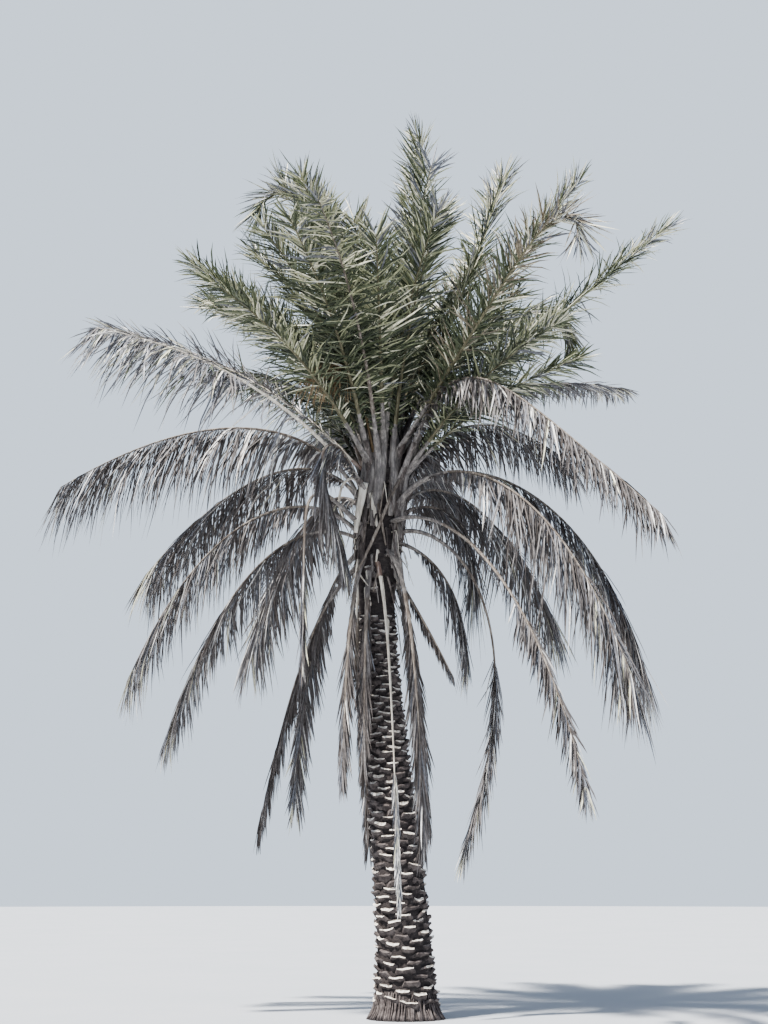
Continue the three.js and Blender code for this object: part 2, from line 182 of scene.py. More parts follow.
class Finish:
    """A procedural material, built up from a few kinds of node."""

    def __init__(self, name, roughness=0.8, sheen=0.0, specular=0.3):
        self.material = bpy.data.materials.new(name)
        self.material.use_nodes = True
        self.nodes = self.material.node_tree.nodes
        self.shader = self.nodes["Principled BSDF"]
        feed(self.shader, {"Roughness": roughness, "Specular IOR Level": specular, "Sheen Weight": sheen})
        self.place = self.nodes.new("ShaderNodeTexCoord").outputs["Object"]

    def noise(self, scale, detail=4.0, roughness=0.6, stretch=(1, 1, 1)):
        mapping = feed(self.nodes.new("ShaderNodeMapping"), {"Vector": self.place, "Scale": stretch})
        kind = {"Vector": mapping.outputs[0], "Scale": scale, "Detail": detail, "Roughness": roughness}
        return feed(self.nodes.new("ShaderNodeTexNoise"), kind).outputs["Fac"]

    def colours(self, scale, stops, **kind):
        """The base colour, dealt out by a noise."""
        made = feed(self.nodes.new("ShaderNodeValToRGB"), {"Fac": self.noise(scale, **kind)})
        places = made.color_ramp.elements
        for place, (position, colour) in zip(places, (stops[0], stops[-1])):
            place.position, place.color = position, (*colour, 1)
        for position, colour in stops[1:-1]:
            places.new(position).color = (*colour, 1)
        feed(self.shader, {"Base Color": made.outputs["Color"]})

    def relief(self, scale, strength, distance, **kind):
        """Small bumps, dealt out by a noise."""
        bumps = {"Strength": strength, "Distance": distance, "Height": self.noise(scale, **kind)}
        made = feed(self.nodes.new("ShaderNodeBump"), bumps)
        feed(self.shader, {"Normal": made.outputs["Normal"]})


# %% Floor
FLOOR_RADIUS = 90.0
FLOOR_SIDES = 96
pale = Finish("pale_floor", roughness=0.95, specular=0.1)
pale.colours(0.4, [(0.3, (0.4, 0.42, 0.44)), (0.7, (0.43, 0.44, 0.46))])
rim = [FLOOR_RADIUS * out for out in around(FLOOR_SIDES)]
floor = object_from("floor", rim, [tuple(range(FLOOR_SIDES))], pale.material, smooth=False)
print("floor: a disc of", FLOOR_RADIUS, "m round the foot")

# %% [markdown]
# The crown follows one rule. A frond has an age from 0, the newest spear, to 1, the oldest one
# left on the palm. Old fronds leave the trunk lower down, lean out further and hang more.
# The fronds that can be told apart from the front have their own line in a table, and the rest
# take their shape from their age and the first free bearing.
# This repeats the rule of the solids, so each feather grows exactly where its solid is.

# %% Trunk shape
BOW = -0.36
BOW_TOP = 5.3
NECK_BACK = 0.12
NECK_RISE = 1.9
HEIGHTS = [0, 0.12, 0.4, 1.0, 2.4, 3.65, 4.3, 5.0, 5.5, 6.0, 6.6, 7.0, 7.25, 7.4]
RADII = [0.47, 0.4, 0.345, 0.325, 0.285, 0.255, 0.235, 0.235, 0.27, 0.3, 0.29, 0.25, 0.19, 0.14]
TRUNK_TOP = 7.4


def trunk_radius(z):
    return along(z, HEIGHTS, RADII)


def trunk_middle(z):
    x = BOW * smooth_step(z / BOW_TOP) + NECK_BACK * smooth_step((z - BOW_TOP) / NECK_RISE)
    return np.array([x, 0.0, z])


# %% The fronds that show
# name, age, bearing, tilt from upright, further droop, length, where it bends, how sharply, 1 if split
SHOWN = [
    ("crest", 0.02, 20, 10, -8, 4.33, 1.37, 0.8),
    ("right_plume", 0.12, 38, 28, -6, 4.85, 1.59, 0.9),
    ("left_plume", 0.15, 160, 7, 26, 4.3, 1.5, 1.6),
    ("right_plume_low", 0.17, 1, 30, 12, 4.55, 1.68, 4.4),
    ("right_hook", 0.2, -50, 49, 168, 4.36, 1.09, 11.7, 1),
    ("left_hook", 0.24, 203, 12, 168, 4.44, 0.93, 11.4),
    ("right_spear", 0.29, 9, 39, 11, 5.2, 1.06, 0.9),
    ("left_arch_high", 0.33, 176, 42, 36, 4.2, 1.0, 1.6),
    ("right_snapped", 0.36, 22, 35, 150, 4.21, 0.88, 14.7),
    ("right_level", 0.41, 43, 18, 67, 5.7, 0.6, 0.9),
    ("left_arch_low", 0.44, 208, 46, 42, 4.1, 1.0, 1.6),
    ("right_arch_high", 0.47, -43, 29, 104, 5.44, 0.31, 5.8, 1),
    ("right_arch_back", 0.5, 25, 27, 97, 3.34, 0.58, 2.6),
    ("left_curl", 0.52, 227, 42, 161, 2.55, 0.4, 8.4),
    ("right_arch_rear", 0.54, -3, 17, 150, 4.74, 0.39, 1.0, 1),
    ("right_arch_front", 0.58, -40, 35, 125, 5.04, 0.3, 1.2, 1),
    ("right_fall_tip", 0.6, 10, 52, 138, 1.72, 0.65, 1.6),
    ("right_arch_short", 0.61, 36, 24, 125, 3.7, 0.3, 1.6),
    ("right_fall_long", 0.62, -50, 75, 89, 5.14, 0.69, 0.8),
    ("left_broken", 0.66, 217, 57, 123, 3.01, 0.29, 8.5),
    ("right_fall", 0.7, -6, 64, 136, 4.73, 0.26, 0.9),
    ("right_fall_short", 0.76, -8, 102, 78, 1.88, 1.19, 1.0),
    ("right_hang", 0.86, -55, 120, 58, 3.8, 0.1, 1),
    ("left_hang", 0.89, 228, 138, 40, 2.8, 0.1, 1),
    ("front_hang", 0.93, -95, 147, 30, 4.3, 0.07, 1),
    ("left_hang_low", 0.96, 250, 150, 29, 2.5, 0.1, 1),
    ("right_stub", 0.99, -20, 145, 8, 1.6, 1.0, 1),
]

# degrees that a frond turns aside from the bearing of its foot
TURNED = {"front_hang": 38}

# %% Clumps of young fronds
# name, age, bearing, tilt and droop of the middle, length
CLUMPS = [
    ("right_back", 0.1, 58, 30, 28, 4.0),
    ("front", 0.14, 262, 20, 24, 3.05),
    ("left_back", 0.18, 132, 24, 30, 3.9),
    ("back", 0.23, 95, 36, 34, 3.9),
    ("left_front", 0.27, 226, 30, 34, 3.5),
    ("right_front", 0.31, 314, 36, 30, 2.9),
]
CLUMP_SIZE = 4
CLUMP_SPREAD = 11
CLUMP_TWIST = 0.4
CLUMP_LEAST = 12
CLUMP_SHORTER = 0.08
CLUMP_BEND = 1.2
CLUMP_SHARP = 1.6
CLUMP_SEAT = 1.0
CLUMP_ROOM = [0.054, 0.043, 0.016]

# %% The rest of the crown
CROWN_TOP = 7.2
CROWN_FALL = 1.75
SEAT = 0.75
RIB_ROOM = [0.050, 0.038, 0.016]
REST = 22
REST_FROM = 62
REST_PHASE = 0.675
REST_SPAN = {"young": 360, "green": 232, "old": 122}
YOUNG_UNTIL = 0.2
SPAN_AGES = [0.3, 0.45]
# shares that spread values evenly: bearings and tilts, lengths, lengths in a clump
SPREAD = 0.754878
SPREAD_LENGTH = 0.56984
SPREAD_CLUMP = 0.61803
LEAST_TILT = 0.9
REST_SHORTER = 0.12
SIDE_AGE = 0.35
SIDE_SHORTER = 0.16
REST_AGES = [0, 0.2, 0.4, 0.55, 0.7, 0.85, 1]
REST_SHAPE = {
    "tilt": [4, 12, 27, 27, 40, 112, 145],
    "droop": [20, 35, 60, 105, 118, 65, 34],
    "length": [3.9, 4.4, 4.8, 4.6, 4.4, 4.2, 3.6],
    "bend": [1.5, 1.2, 0.8, 0.35, 0.3, 0.3, 0.1],
    "sharp": [1.6, 1.6, 1.6, 1.6, 1.6, 1.2, 1],
}
REST_NAMES = ["young", "green", "mature", "arching", "falling", "hanging"]
SIDE_STEP = 7
SIDE_STEPS = 15
SLIDE = 0.012
STEM_END = 0.16
STEPS = 400
COMPARED = 10


class Frond:
    """One frond: its shape numbers, and the line that its rib follows."""

    def __init__(self, name, age, bearing, tilt, droop, length, bend, sharp, split=0, clump=None, swing=0.0):
        self.name, self.age, self.bearing, self.tilt, self.droop = name, age, bearing, tilt, droop
        self.length, self.bend, self.sharp, self.split = length, bend, sharp, split
        self.clump, self.swing = clump, swing or TURNED.get(name, 0.0)

    def draw(self):
        s = np.linspace(0, 1, STEPS + 1)
        edge = self.bend**self.sharp
        power = s**self.sharp
        tilt = np.radians(self.tilt + self.droop * (1 + edge) * power / (power + edge))
        foot, _ = compass(math.radians(self.bearing))
        out, self.side = compass(math.radians(self.bearing + self.swing))
        forward = np.sin(tilt)[:, None] * out + np.cos(tilt)[:, None] * np.array([0, 0, 1.0])
        self.upper = np.cross(forward, self.side)
        reach = (CLUMP_SEAT if self.clump else SEAT) * trunk_radius(self.level)
        start = trunk_middle(self.level) + reach * foot
        walk = (forward[1:] + forward[:-1]) * self.length / STEPS / 2
        self.line = np.vstack([start, start + np.cumsum(walk, axis=0)])

    def at(self, s):
        """The point and its upper side at a share s of the length."""
        x = min(max(s, 0.0), 1.0) * STEPS
        i = min(int(x), STEPS - 1)
        point, upper = [a[i] + (a[i + 1] - a[i]) * (x - i) for a in (self.line, self.upper)]
        return point, unit(upper)

    def room(self):
        """Half the thickness that the rib needs round its line."""
        shares = np.arange(0, STEPS + 1, COMPARED) / STEPS
        return np.interp(shares, [0, STEM_END, 1], CLUMP_ROOM if self.clump else RIB_ROOM)


def clear_of(frond, placed):
    own = frond.line[::COMPARED]
    for other in placed:
        gap = np.linalg.norm(own[:, None] - other.line[::COMPARED][None], axis=2)
        if (gap < frond.room()[:, None] + other.room()[None]).any():
            return False
    return True


def rest_frond(k):
    age = (k + 0.5) / REST
    span = along(age, SPAN_AGES, [REST_SPAN["green"], REST_SPAN["old"]])
    if age < YOUNG_UNTIL:
        span = REST_SPAN["young"]
    bearing = REST_FROM + span * frac(SPREAD * k + REST_PHASE)
    shape = {key: along(age, REST_AGES, values) for key, values in REST_SHAPE.items()}
    shape["tilt"] *= LEAST_TILT + (2 - 2 * LEAST_TILT) * frac(SPREAD * k)
    shape["length"] *= 1 - REST_SHORTER * frac(SPREAD_LENGTH * k)
    if age < SIDE_AGE:
        shape["length"] *= 1 - SIDE_SHORTER * abs(math.cos(math.radians(bearing)))
    name = REST_NAMES[int(age * len(REST_NAMES))] + "_" + str(k % 4 + 1)
    return Frond(name, age, bearing, **shape)


def clump_fronds(name, age, bearing, tilt, droop, length):
    """The fronds of a clump share one foot and fan out round the clump's middle."""
    fronds = []
    for m in range(CLUMP_SIZE):
        way = math.radians(360 * m / CLUMP_SIZE + CLUMP_TWIST * bearing)
        lean = tilt + CLUMP_SPREAD * math.cos(way)
        swing = CLUMP_SPREAD * math.sin(way) / math.sin(math.radians(max(lean, CLUMP_LEAST)))
        own = length * (1 - CLUMP_SHORTER * frac(SPREAD_CLUMP * m))
        shape = (lean, droop, own, CLUMP_BEND, CLUMP_SHARP)
        fronds.append(Frond(name + "_" + str(m + 1), age, bearing, *shape, clump=name, swing=swing))
    return fronds


def grow_crown():
    shown = [Frond(*row) for row in SHOWN]
    rest = [rest_frond(k) for k in range(REST)]
    clumps = [clump_fronds(*row) for row in CLUMPS]
    lone = shown + rest
    fall = CROWN_FALL / (len(lone) - 1)
    for frond in lone + sum(clumps, []):
        younger = sum(other.age < frond.age for other in lone)
        frond.level = CROWN_TOP - fall * (younger - 0.5 if frond.clump else younger)
    groups = [[frond] for frond in shown] + clumps + [[frond] for frond in rest]
    placed = []
    for index, group in enumerate(groups):
        wanted, top = group[0].bearing, group[0].level
        for k in range(1 if index < len(shown) else 2 * SIDE_STEPS + 1):
            step = math.ceil(k / 2) * SIDE_STEP * (1 if k % 2 else -1)
            for frond in group:
                frond.bearing = wanted + step
                frond.level = top - k * SLIDE
                frond.draw()
            if all(clear_of(frond, placed) for frond in group):
                break
        placed += group
    return sorted(placed, key=lambda frond: frond.age)


crown = grow_crown()
print("fronds:", len(crown), "longest:", max(frond.length for frond in crown))

# %% [markdown]
# Leaflets come in few colours, dealt out in small groups along each frond.
# Fresh ones are a dusty grey green, and they dry to straw and bleach to a pale grey.
# The pale olive, straw and bleached finishes are lighter than those colours alone: they are
# painted highlights, which stand in for sunlit, glinting leaflets. The oldest fronds take darker
# tones, in part as painted shade of the crown that they hang under.
# Each finish is a fine mottle of two near tones, so no colour depends on where a pattern
# happens to fall.


# %% Leaflet finishes
def leaflet_finish(name, dark, light, roughness, sheen):
    made = Finish("leaflet_" + name, roughness=roughness, sheen=sheen, specular=0.45)
    made.colours(26.0, [(0.35, dark), (0.65, light)], detail=2.0)
    return made.material


# name, darker and lighter tone, roughness, sheen
LEAFLET_COLOURS = {
    "deep": ("deep_green", (0.028, 0.036, 0.02), (0.05, 0.062, 0.035), 0.42, 0.05),
    "green": ("grey_green", (0.066, 0.079, 0.042), (0.118, 0.135, 0.076), 0.36, 0.08),
    # olive: a pale olive green, lightened as a painted highlight of sun on green leaflets
    "olive": ("olive", (0.255, 0.262, 0.16), (0.4, 0.405, 0.262), 0.34, 0.1),
    "rust": ("rust", (0.15, 0.125, 0.088), (0.29, 0.248, 0.185), 0.5, 0.08),
    # straw: dry straw, lightened further as a painted highlight; among green leaflets it stands for glints
    "straw": ("straw", (0.56, 0.535, 0.395), (0.78, 0.76, 0.6), 0.38, 0.1),
    "dusty": ("dusty", (0.125, 0.128, 0.142), (0.235, 0.238, 0.258), 0.38, 0.1),
    "brown": ("brown", (0.08, 0.069, 0.063), (0.136, 0.118, 0.11), 0.7, 0.05),
    "grey": ("weathered", (0.13, 0.119, 0.114), (0.21, 0.195, 0.19), 0.6, 0.08),
    # bleached: sun-bleached grey, lightened further as a painted highlight for white glints
    "bleached": ("bleached", (0.52, 0.5, 0.47), (0.8, 0.78, 0.745), 0.46, 0.1),
}
LEAFLETS = {kind: leaflet_finish(*values) for kind, values in LEAFLET_COLOURS.items()}
print("leaflet finishes:", len(LEAFLETS))


# %% Rib finishes
def rib_finish(name, dark, middle, light, roughness):
    made = Finish(name, roughness=roughness, specular=0.35)
    fibre = [(0.34, dark), (0.5, middle), (0.64, light)]
    made.colours(26.0, fibre, detail=6.0, roughness=0.75, stretch=(1, 1, 0.16))
    made.relief(60.0, 0.35, 0.004, detail=3.0)
    return made.material


# dark, middle and light fibres, roughness
RIB_COLOURS = {
    "stem": ((0.084, 0.074, 0.068), (0.2, 0.18, 0.166), (0.4, 0.365, 0.325), 0.55),
    "old_stem": ((0.042, 0.034, 0.03), (0.105, 0.087, 0.078), (0.26, 0.226, 0.204), 0.72),
    "fresh": ((0.07, 0.064, 0.036), (0.13, 0.118, 0.072), (0.26, 0.24, 0.155), 0.5),
    "dry": ((0.085, 0.068, 0.054), (0.18, 0.15, 0.125), (0.39, 0.35, 0.3), 0.7),
    # bleached: sun-bleached fibre, lightened further as a painted highlight of sunlight
    "bleached": ((0.37, 0.32, 0.255), (0.65, 0.595, 0.5), (0.86, 0.82, 0.73), 0.6),
    "rusty": ((0.13, 0.085, 0.068), (0.27, 0.19, 0.155), (0.48, 0.4, 0.35), 0.75),
}
RIBS = {kind: rib_finish("rib_" + kind, *values) for kind, values in RIB_COLOURS.items()}
print("rib finishes:", len(RIBS))

# %% [markdown]
# A rib is one long taper: a broad, flat base that clasps the trunk, a stout stem,
# and a thin whip at the tip. A loft of eight-sided rings along the frond's line gives that,
# with a shallow channel on its upper face.

# %% Ribs
RIB_SHARES = [0, 0.03, 0.07, 0.16, 0.5, 1]
RIB_WIDE = [0.150, 0.125, 0.100, 0.066, 0.036, 0.010]
RIB_HIGH = [0.056, 0.054, 0.052, 0.042, 0.026, 0.008]
RIB_STATIONS = [0, 0.015, 0.03, 0.05, 0.07, 0.1, *np.linspace(0.14, 1, 30)]
RIB_SECTION = [
    (1, 0.1), (0.62, 0.85), (0, 0.55), (-0.62, 0.85), (-1, 0.1), (-0.7, -0.75), (0, -1), (0.7, -0.75),
]
SLIM = {"front_hang": 0.56}
GREEN_UNTIL = 0.34
STEM_SHARE = 0.19
# ribs of these fronds take the bleached finish, pale from bleaching and lightened further as a painted
# highlight
BLEACHED_AND_HIGHLIT = ("front_hang", "left_arch_low", "left_arch_high")
BLEACHED_STEM_SHARE = 0.06


def loft(rings):
    """Corners and outward faces of a closed skin over equal rings."""
    count = len(rings[0])
    faces = []
    for i in range(len(rings) - 1):
        for k in range(count):
            m = (k + 1) % count
            faces.append((i * count + k, i * count + m, (i + 1) * count + m, (i + 1) * count + k))
    faces.append(tuple(range(count))[::-1])
    faces.append(tuple((len(rings) - 1) * count + k for k in range(count)))
    return [p for ring in rings for p in ring], faces


def rib_piece(frond):
    rings = []
    for s in RIB_STATIONS:
        point, upper = frond.at(s)
        w = along(s, RIB_SHARES, RIB_WIDE) / 2 * SLIM.get(frond.name, 1)
        h = along(s, RIB_SHARES, RIB_HIGH) / 2
        rings.append([point + frond.side * w * x + upper * h * y for x, y in RIB_SECTION])
    points, faces = loft(rings)
    kind, base, base_share = "dry", "stem", STEM_SHARE
    if frond.age < GREEN_UNTIL:
        kind = "fresh"
    if frond.name in BLEACHED_AND_HIGHLIT:
        kind, base, base_share = "bleached", "rusty", BLEACHED_STEM_SHARE
    piece = object_from("rib_" + frond.name, points, faces, RIBS[kind], RIBS[base])
    low = len(RIB_SECTION) * sum(s < base_share for s in RIB_STATIONS)
    piece.data.polygons.foreach_set("material_index", [1 if i < low else 0 for i in range(len(faces))])
    return piece


# %% [markdown]
# Below the place where it leaves the neck, a living frond runs on down the trunk as a broad
# flat base, which clasps the neck with its edges. These bases stand side by side and make the
# bundle of upright straps under the crown. A strap follows the neck's surface, then its rib.

# %% Clasping bases
# it starts so far below the place where the rib leaves, and lies on the neck up to there
STRAP_DROP, STRAP_UNDER = 0.85, 0.1
# how far it stands off the neck, and how much more in each layer
STRAP_PROUD, STRAP_OVER, STRAP_LAYERS = 0.004, 0.006, 4
STRAP_AT = [0, 0.2, 0.6, 1]
STRAP_WIDE = [0.07, 0.122, 0.100, 0.082]
STRAP_HIGH = [0.010, 0.036, 0.056, 0.050]
STRAP_AGE = 0.62
STRAP_CLASP = 0.25
STRAP_LEAVES = 0.012
STRAP_SEARCH = 0.12
STRAP_ON = 0.09
CLUMP_STRAP_WIDER = 1.2
STRAP_POINTS = 22
# of every five straps, these are brown
STRAP_KINDS, OLD_STRAPS = 5, (0, 3)


def across(way, i, facing):
    """Sideways and upward at one point of a path, for a strip whose broad side looks along facing."""
    ahead = unit(way[min(i + 1, len(way) - 1)] - way[max(i - 1, 0)])
    side = unit(np.cross(ahead, facing))
    return side, np.cross(ahead, side)


def swept(name, way, wides, highs, facing, material, clasp=None):
    """A strip along a path, with its widths and heights along it. Its edges may curve round."""
    share = np.linspace(0, 1, len(way))
    rings = []
    for i, point in enumerate(way):
        side, upper = across(way, i, facing)
        w = along(share[i], np.linspace(0, 1, len(wides)), wides) / 2
        h = along(share[i], np.linspace(0, 1, len(highs)), highs) / 2
        bend = [x * x * w * w / (2 * clasp) if clasp else 0 for x, _ in RIB_SECTION]
        rings.append([point + side * w * x + upper * (h * y + c) for (x, y), c in zip(RIB_SECTION, bend)])
    return object_from(name, *loft(rings), material)


def off_trunk(point):
    away = point - trunk_middle(point[2])
    return math.hypot(away[0], away[1]) - trunk_radius(point[2])


def strap_piece(frond, rank):
    """Up the neck's surface to the place where the rib has left it, and a little way along the rib."""
    out, _ = compass(math.radians(frond.bearing))
    clear = (s for s in np.linspace(0, STRAP_SEARCH, 49) if off_trunk(frond.at(s)[0]) > STRAP_LEAVES)
    leave = next(clear, STRAP_SEARCH)
    top = frond.at(leave)[0][2]
    proud = STRAP_PROUD + STRAP_OVER * (rank % STRAP_LAYERS)
    levels = np.linspace(top - STRAP_DROP, top - STRAP_UNDER, 5)
    low = [trunk_middle(z) + out * (trunk_radius(z) + proud) for z in levels]
    high = [frond.at(leave + STRAP_ON * k / 3)[0] for k in range(1, 4)]
    way = smooth_path(low + high, STRAP_POINTS)
    share = np.linspace(0, 1, 8)
    wider = CLUMP_STRAP_WIDER if frond.clump else 1
    wides = [along(u, STRAP_AT, STRAP_WIDE) * wider for u in share]
    highs = [along(u, STRAP_AT, STRAP_HIGH) for u in share]
    finish = RIBS["old_stem" if rank % STRAP_KINDS in OLD_STRAPS else "stem"]
    return swept("strap_" + frond.name, way, wides, highs, out, finish, STRAP_CLASP)


# %% [markdown]
# A date palm leaflet is a long narrow blade, folded along its middle so that the fold opens
# upwards. The crown needs about twenty-eight thousand of them, so the pattern piece has only
# 13 faces: three folded sections and a sharp tip. It is one unit long and one unit wide.

# %% The pattern leaflet
# how far along, how wide
LEAFLET_RINGS = [(0.0, 0.35), (0.2, 1.0), (0.72, 0.8)]
LEAFLET_FOLD = 0.32
LEAFLET_TOP = 0.1
LEAFLET_KEEL = -0.06
LEAFLET_TIP = (0.0, 1.0, 0.05)


def pattern_leaflet():
    points = []
    for y, width in LEAFLET_RINGS:
        x, fold = width / 2, LEAFLET_FOLD * width
        points += [(x, y, fold), (0.0, y, LEAFLET_TOP), (-x, y, fold), (0.0, y, LEAFLET_KEEL)]
    last = len(points) - 4
    faces = [(0, 1, 2, 3)]
    for i in range(0, last, 4):
        for k in range(4):
            m = (k + 1) % 4
            faces.append((i + k, i + 4 + k, i + 4 + m, i + m))
    for k in range(4):
        faces.append((last + k, last + 4, last + (k + 1) % 4))
    return object_from("pattern_leaflet", points + [LEAFLET_TIP], faces, smooth=False)


leaflet = pattern_leaflet()


# %% [markdown]
# Everything that repeats is made with Geometry Nodes. This small class wires a tree, which
# takes the mesh that it grows on and a seed. Further inputs come from takes(), nodes from
# add(), and get() is for a node whose output is all that is wanted.
# The short helpers for sums keep the arithmetic readable.


# %% A helper that wires node trees
FLOAT, VECTOR = "FLOAT", "FLOAT_VECTOR"
SEED_STEP = 31.0


class Tree:
    def __init__(self, name):
        self.tree = bpy.data.node_groups.new(name, "GeometryNodeTree")
        self.start = self.tree.nodes.new("NodeGroupInput")
        self.end = self.tree.nodes.new("NodeGroupOutput")
        self.base, self.seed = self.takes("Geometry", "Geometry"), self.takes("Int", "Seed")
        self.draws = 0
        self.tree.interface.new_socket(name="Geometry", in_out="OUTPUT", socket_type="NodeSocketGeometry")

    def takes(self, kind, *names):
        for name in names:
            self.tree.interface.new_socket(name=name, in_out="INPUT", socket_type="NodeSocket" + kind)
        found = [self.start.outputs[name] for name in names]
        return found if len(names) > 1 else found[0]

    def add(self, kind, inputs=None, **settings):
        node = self.tree.nodes.new(kind)
        for key, value in settings.items():
            setattr(node, key, value)
        return feed(node, inputs or {})

    def get(self, kind, inputs=None, output=None, **settings):
        sockets = self.add(kind, inputs, **settings).outputs
        return next(s for s in sockets if s.enabled and output in (None, s.name))

    def math(self, operation, a, b=0.0):
        return self.get("ShaderNodeMath", {0: a, 1: b}, operation=operation)

    def vector(self, operation, a, b=(0.0, 0.0, 0.0)):
        return self.get("ShaderNodeVectorMath", {0: a, 1: b}, operation=operation)

    def plus(self, *parts):
        return reduce(lambda a, b: self.math("ADD", a, b), parts)

    def times(self, *parts):
        return reduce(lambda a, b: self.math("MULTIPLY", a, b), parts)

    def sum(self, *parts):
        return reduce(lambda a, b: self.vector("ADD", a, b), parts)

    def scaled(self, a, scale):
        return self.get("ShaderNodeVectorMath", {0: a, "Scale": scale}, operation="SCALE")

    def random(self, low, high, key=None, kind=FLOAT):
        """A random value. Each has a seed of its own, so that no two go together."""
        self.draws += 1
        seed = self.plus(self.times(self.seed, SEED_STEP), float(self.draws))
        inputs = {"Min": low, "Max": high, "Seed": seed}
        if key is not None:
            inputs["ID"] = key
        return self.get("FunctionNodeRandomValue", inputs, data_type=kind)

    def note(self, geometry, name, value, kind=FLOAT, domain="POINT"):
        inputs = {"Geometry": geometry, "Name": name, "Value": value}
        return self.get("GeometryNodeStoreNamedAttribute", inputs, data_type=kind, domain=domain)

    def read(self, name, kind=FLOAT):
        return self.get("GeometryNodeInputNamedAttribute", {"Name": name}, "Attribute", data_type=kind)

    def planted(self, points, pattern, aim, face, size):
        """The pattern on every point, with its Y along aim and its Z towards face."""
        axes = {"primary_axis": "Y", "secondary_axis": "Z"}
        source = self.get("GeometryNodeObjectInfo", {"Object": pattern, "As Instance": True}, "Geometry")
        inputs = {
            "Points": points,
            "Instance": source,
            "Rotation": self.get("FunctionNodeAxesToRotation", {0: aim, 1: face}, **axes),
            "Scale": self.get("ShaderNodeCombineXYZ", dict(zip("XYZ", size))),
        }
        return self.get("GeometryNodeInstanceOnPoints", inputs)

    def realized(self, instances):
        return self.get("GeometryNodeRealizeInstances", {"Geometry": instances})

    def shifted(self, geometry, offset):
        return self.get("GeometryNodeSetPosition", {"Geometry": geometry, "Offset": offset})

    def paint(self, geometry, material, chosen=True):
        inputs = {"Geometry": geometry, "Material": material, "Selection": chosen}
        return self.get("GeometryNodeSetMaterial", inputs)

    def more(self, a, b):
        inputs = {"A": a, "B": b}
        return self.get("FunctionNodeCompare", inputs, data_type=FLOAT, operation="GREATER_THAN")

    def finish(self, geometry):
        feed(self.end, {"Geometry": geometry})
        return self.tree


def grown(name, base, tree, **values):
    """Runs a tree on a mesh, keeps the result as a plain mesh and removes the modifier."""
    modifier = base.modifiers.new("grow", "NODES")
    modifier.node_group = tree
    names = {item.name: item.identifier for item in tree.interface.items_tree if item.in_out == "INPUT"}
    for key, value in values.items():
        modifier[names[key.replace("_", " ").title()]] = value
    base.update_tag()
    ready = base.evaluated_get(bpy.context.evaluated_depsgraph_get())
    mesh = bpy.data.meshes.new_from_object(ready)
    base.modifiers.remove(modifier)
    bpy.data.objects.remove(base)
    mesh.name = name
    return linked(name, mesh)


# %% [markdown]
# One tree grows the leaflets of a frond. It walks along the rib's line, places a pair at each
# step, turns each leaflet forward, outward and up or down, and lets it sag under its weight.
# Leaflets on a young frond stand up in a V. On an old one they hang straight down.
# Its inputs are what differs from frond to frond, and its seed makes every frond its own.

# %% The leaflet tree
LEAFLET_PROFILE = [(0.0, 0.12), (0.1, 0.35), (0.2, 0.75), (0.36, 1.0), (0.86, 1.0), (1.0, 0.78)]
FADE_FROM = 0.36
LEAN_POWER = 1.6
LOST_WHERE_BARE = 0.88
GROUPS_PER_STEP = 0.22
DOWN = (0.0, 0.0, -1.0)


